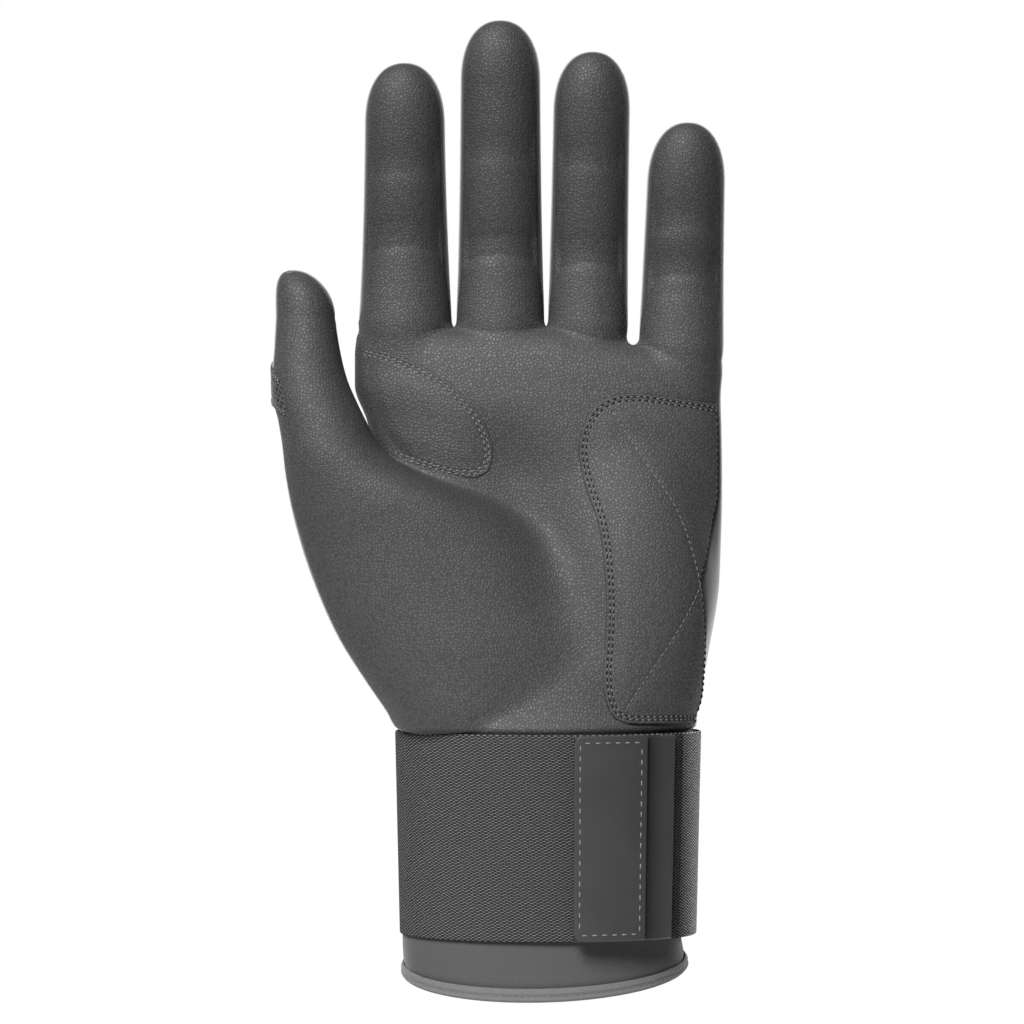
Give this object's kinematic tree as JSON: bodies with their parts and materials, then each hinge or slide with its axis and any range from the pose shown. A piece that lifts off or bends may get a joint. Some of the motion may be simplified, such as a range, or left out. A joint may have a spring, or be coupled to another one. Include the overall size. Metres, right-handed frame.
{
  "type": "batting glove",
  "caption": "Left-hand batting glove in its worn shape, with a leather palm, flexing finger stalls, a long elastic cuff and a hook-and-loop wrist tab that peels open.",
  "frame": {"origin": "centre of the wrist opening, in the plane of the hem", "axes": "+Z from the wrist opening to the fingertips, palm towards -Y, +X from the thumb side to the little finger side"},
  "size_m": [0.125, 0.0614, 0.2664],
  "materials": {
    "palm_leather": "matte",
    "back_fabric": "matte",
    "elastic": "matte",
    "sleeve": "matte",
    "binding": "matte",
    "tab_carrier": "satin",
    "tab": "satin",
    "hook_tape": "matte",
    "vent_mesh": "matte"
  },
  "bodies": {
    "hand": {"palm_panel": "palm_leather", "back_panel": "back_fabric", "heel_pad": "palm_leather", "thumb_crotch_patch": "palm_leather", "cuff_sleeve": "sleeve", "cuff_binding": "binding", "wrist_strap": "elastic", "index_base_crease": "palm_leather", "middle_base_crease": "palm_leather", "ring_base_crease": "palm_leather", "little_base_crease": "palm_leather", "thumb_crease": "palm_leather", "thumb_vent": "vent_mesh"},
    "index_base": {"index_base_front": "palm_leather", "index_base_back": "back_fabric", "index_middle_crease": "palm_leather"},
    "index_tip": {"index_tip_front": "palm_leather", "index_tip_back": "back_fabric"},
    "middle_base": {"middle_base_front": "palm_leather", "middle_base_back": "back_fabric", "middle_middle_crease": "palm_leather"},
    "middle_tip": {"middle_tip_front": "palm_leather", "middle_tip_back": "back_fabric"},
    "ring_base": {"ring_base_front": "palm_leather", "ring_base_back": "back_fabric", "ring_middle_crease": "palm_leather"},
    "ring_tip": {"ring_tip_front": "palm_leather", "ring_tip_back": "back_fabric"},
    "little_base": {"little_base_front": "palm_leather", "little_base_back": "back_fabric", "little_middle_crease": "palm_leather"},
    "little_tip": {"little_tip_front": "palm_leather", "little_tip_back": "back_fabric"},
    "thumb_tip": {"thumb_front": "palm_leather", "thumb_back": "back_fabric"},
    "strap_end": {"strap_outer_end": "elastic", "tab_carrier": "tab_carrier", "pull_tab": "tab", "hook_patch": "hook_tape"}
  },
  "joints": [
    {"name": "index_base_bend", "type": "hinge", "parent": "hand", "child": "index_base", "pos_m": [-0.0385, -0.0025, 0.18425], "axis": [1, 0, 0], "range_deg": [0, 70], "deforming": ["index_base_crease"]},
    {"name": "index_middle_bend", "type": "hinge", "parent": "index_base", "child": "index_tip", "pos_m": [-0.0385, -0.00443, 0.20934], "axis": [1, 0, 0], "range_deg": [0, 80], "deforming": ["index_middle_crease"]},
    {"name": "middle_base_bend", "type": "hinge", "parent": "hand", "child": "middle_base", "pos_m": [-0.0123, -0.0025, 0.18383], "axis": [1, 0, 0], "range_deg": [0, 70], "deforming": ["middle_base_crease"]},
    {"name": "middle_middle_bend", "type": "hinge", "parent": "middle_base", "child": "middle_tip", "pos_m": [-0.0123, -0.00516, 0.21454], "axis": [1, 0, 0], "range_deg": [0, 80], "deforming": ["middle_middle_crease"]},
    {"name": "ring_base_bend", "type": "hinge", "parent": "hand", "child": "ring_base", "pos_m": [0.0118, -0.0025, 0.18237], "axis": [1, 0, 0], "range_deg": [0, 70], "deforming": ["ring_base_crease"]},
    {"name": "ring_middle_bend", "type": "hinge", "parent": "ring_base", "child": "ring_tip", "pos_m": [0.0123, -0.0047, 0.21044], "axis": [1, 0, 0], "range_deg": [0, 80], "deforming": ["ring_middle_crease"]},
    {"name": "little_base_bend", "type": "hinge", "parent": "hand", "child": "little_base", "pos_m": [0.0373, -0.0025, 0.17691], "axis": [1, 0, 0], "range_deg": [0, 70], "deforming": ["little_base_crease"]},
    {"name": "little_middle_bend", "type": "hinge", "parent": "little_base", "child": "little_tip", "pos_m": [0.038, -0.00383, 0.19854], "axis": [1, 0, 0], "range_deg": [0, 80], "deforming": ["little_middle_crease"]},
    {"name": "thumb_bend", "type": "hinge", "parent": "hand", "child": "thumb_tip", "pos_m": [-0.063, -0.0165, 0.15657], "axis": [1, 0, 0], "range_deg": [0, 60], "deforming": ["thumb_crease", "thumb_vent"]},
    {"name": "strap_peel", "type": "hinge", "parent": "hand", "child": "strap_end", "pos_m": [0.03743, -0.01499, 0.03744], "axis": [0, 0, 1], "range_deg": [0, 120]}
  ]
}
